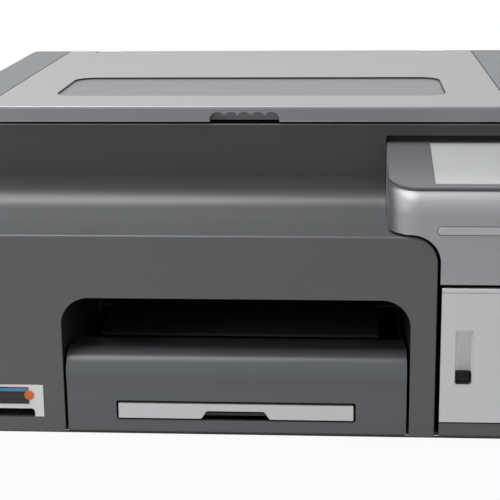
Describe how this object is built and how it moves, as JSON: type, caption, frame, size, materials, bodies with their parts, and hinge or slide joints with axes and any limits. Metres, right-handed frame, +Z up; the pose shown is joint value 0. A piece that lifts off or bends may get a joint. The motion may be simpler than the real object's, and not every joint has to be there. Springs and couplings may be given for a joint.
{
  "type": "direct-to-film printer",
  "caption": "Desktop direct-to-film printer: hinged flat lid, film tray in a wide front mouth, raised control panel, ink door and card flap, with its print carriage inside.",
  "frame": {"origin": "middle of the footprint, on the surface that the feet stand on", "axes": "+X to the right seen from the front, +Y to the rear, +Z up"},
  "size_m": [0.441, 0.42, 0.2155],
  "materials": {
    "silver_panel": "satin silver paint on plastic",
    "silver_strip": "satin silver-grey paint, a shade darker",
    "silver_recess": "satin silver-grey recessed panel",
    "housing_silver": "satin silver paint",
    "lid_grey": "mid-grey moulded plastic",
    "case_grey": "dark grey fine-textured plastic",
    "bezel_grey": "grey satin plastic",
    "display_grey": "blank light grey display window",
    "inner_dark": "near-black inner moulding",
    "tray_grey": "dark grey tray plastic",
    "card_white": "off-white plastic",
    "frame_steel": "zinc-plated sheet steel",
    "shaft_steel": "ground steel",
    "gear_white": "natural acetal",
    "roller_rubber": "fine-ground rubber",
    "seal_rubber": "soft black rubber",
    "feet_rubber": "black rubber",
    "belt_rubber": "toothed belt rubber",
    "motor_metal": "motor can",
    "board_green": "circuit board with solder mask",
    "supply_metal": "pressed steel box",
    "socket_black": "black socket moulding",
    "tank_clear": "translucent tank",
    "cap_black": "ribbed screw cap",
    "door_silver": "satin silver paint"
  },
  "bodies": {
    "chassis": {"front_cover": "case_grey", "side_cover_left": "case_grey", "side_cover_right": "case_grey", "rear_cover": "case_grey", "base_pan": "inner_dark", "top_deck": "inner_dark", "output_throat": "inner_dark", "control_housing": "housing_silver", "control_bezel": "bezel_grey", "display_window": "display_grey", "control_board": "board_green", "ink_bay": "inner_dark", "ink_tanks": "tank_clear", "ink_tank_caps": "cap_black", "card_bay": "inner_dark", "lid_hinge_brackets": "lid_grey", "main_frame": "frame_steel", "guide_rod": "shaft_steel", "carriage_belt": "belt_rubber", "carriage_motor": "motor_metal", "feed_motor": "motor_metal", "pinch_arms": "inner_dark", "platen": "inner_dark", "capping_station": "inner_dark", "cap_seal": "seal_rubber", "main_board": "board_green", "power_supply": "supply_metal", "power_inlet": "socket_black", "usb_socket": "frame_steel", "rubber_feet": "feet_rubber"},
    "lid": {"lid_shell": "lid_grey", "lid_liner": "inner_dark", "lid_top_panel": "silver_panel", "lid_recess_panel": "silver_recess", "lid_strip_left": "silver_strip", "lid_strip_right": "silver_strip", "lid_hinge_pins": "shaft_steel"},
    "rear_door_leaf": {"rear_door": "case_grey"},
    "ink_door_leaf": {"ink_door": "door_silver"},
    "card_flap": {"card_bay_cover": "card_white"},
    "bar_button": {"power_bar": "housing_silver"},
    "tray": {"film_tray": "inner_dark", "film_tray_front": "tray_grey", "output_platform": "tray_grey"},
    "extension": {"tray_extension": "inner_dark", "extension_handle": "door_silver"},
    "side_stop": {"side_guide": "inner_dark"},
    "rear_stop": {"rear_guide": "inner_dark"},
    "print_carriage": {"carriage": "inner_dark", "print_head": "frame_steel"},
    "drive_wheel": {"drive_pulley": "gear_white"},
    "idler_wheel": {"idler_pulley": "gear_white"},
    "feed_shaft": {"feed_roller": "roller_rubber", "feed_gear": "gear_white"},
    "eject_shaft": {"eject_roller": "roller_rubber", "eject_gear": "gear_white"},
    "idler_wheel_gear": {"idler_gear": "gear_white"},
    "pinion_shaft": {"motor_pinion": "gear_white"},
    "pinch_set": {"pinch_rollers": "roller_rubber"},
    "star_shaft": {"star_wheels": "shaft_steel"}
  },
  "joints": [
    {"name": "lid_hinge", "type": "hinge", "parent": "chassis", "child": "lid", "pos_m": [0, 0.20335, 0.20985], "axis": [-1, 0, 0], "range_deg": [0, 72]},
    {"name": "rear_door_hinge", "type": "hinge", "parent": "chassis", "child": "rear_door_leaf", "pos_m": [0, 0.20875, 0.12875], "axis": [1, 0, 0], "range_deg": [0, 70]},
    {"name": "ink_door_hinge", "type": "hinge", "parent": "chassis", "child": "ink_door_leaf", "pos_m": [0.2123, -0.205, 0.06], "axis": [0, 0, 1], "range_deg": [0, 90]},
    {"name": "card_flap_hinge", "type": "hinge", "parent": "chassis", "child": "card_flap", "pos_m": [-0.17, -0.20575, 0.03375], "axis": [-1, 0, 0], "range_deg": [0, 80]},
    {"name": "power_bar_press", "type": "slide", "parent": "chassis", "child": "bar_button", "axis": [0, 1, 0], "range_m": [0, 0.0015], "stiffness_N_per_m": 400},
    {"name": "tray_slide", "type": "slide", "parent": "chassis", "child": "tray", "axis": [0, -1, 0], "range_m": [0, 0.15]},
    {"name": "extension_slide", "type": "slide", "parent": "tray", "child": "extension", "axis": [0, -1, 0], "range_m": [0, 0.11]},
    {"name": "side_guide_slide", "type": "slide", "parent": "tray", "child": "side_stop", "axis": [1, 0, 0], "range_m": [0, 0.05]},
    {"name": "rear_guide_slide", "type": "slide", "parent": "tray", "child": "rear_stop", "axis": [0, -1, 0], "range_m": [0, 0.09]},
    {"name": "carriage_slide", "type": "slide", "parent": "chassis", "child": "print_carriage", "axis": [1, 0, 0], "range_m": [-0.27, 0]},
    {"name": "drive_pulley_spin", "type": "hinge", "parent": "chassis", "child": "drive_wheel", "pos_m": [-0.16, 0.085, 0.14], "axis": [0, 1, 0], "range_deg": [-2230, 10]},
    {"name": "idler_pulley_spin", "type": "hinge", "parent": "chassis", "child": "idler_wheel", "pos_m": [0.184, 0.085, 0.14], "axis": [0, 1, 0], "range_deg": [-2230, 10]},
    {"name": "feed_roller_spin", "type": "hinge", "parent": "chassis", "child": "feed_shaft", "pos_m": [0, 0.035, 0.066], "axis": [1, 0, 0], "continuous": true},
    {"name": "eject_roller_spin", "type": "hinge", "parent": "chassis", "child": "eject_shaft", "pos_m": [0, -0.045, 0.066], "axis": [1, 0, 0], "continuous": true},
    {"name": "idler_gear_spin", "type": "hinge", "parent": "chassis", "child": "idler_wheel_gear", "pos_m": [0, -0.005, 0.066], "axis": [1, 0, 0], "continuous": true},
    {"name": "motor_pinion_spin", "type": "hinge", "parent": "chassis", "child": "pinion_shaft", "pos_m": [0, 0.04517, 0.04604], "axis": [1, 0, 0], "continuous": true},
    {"name": "pinch_roller_spin", "type": "hinge", "parent": "chassis", "child": "pinch_set", "pos_m": [0, 0.035, 0.0784], "axis": [1, 0, 0], "continuous": true},
    {"name": "star_wheel_spin", "type": "hinge", "parent": "chassis", "child": "star_shaft", "pos_m": [0, -0.045, 0.0794], "axis": [1, 0, 0], "continuous": true}
  ],
  "couplings": [
    {"joint": "drive_pulley_spin", "follows": "carriage_slide", "rad_per_m": 142.86},
    {"joint": "idler_pulley_spin", "follows": "carriage_slide", "rad_per_m": 142.86},
    {"joint": "eject_roller_spin", "follows": "feed_roller_spin", "ratio": 1},
    {"joint": "idler_gear_spin", "follows": "feed_roller_spin", "ratio": -0.66667},
    {"joint": "motor_pinion_spin", "follows": "feed_roller_spin", "ratio": -2.5},
    {"joint": "pinch_roller_spin", "follows": "feed_roller_spin", "ratio": -2},
    {"joint": "star_wheel_spin", "follows": "feed_roller_spin", "ratio": -1.6}
  ]
}
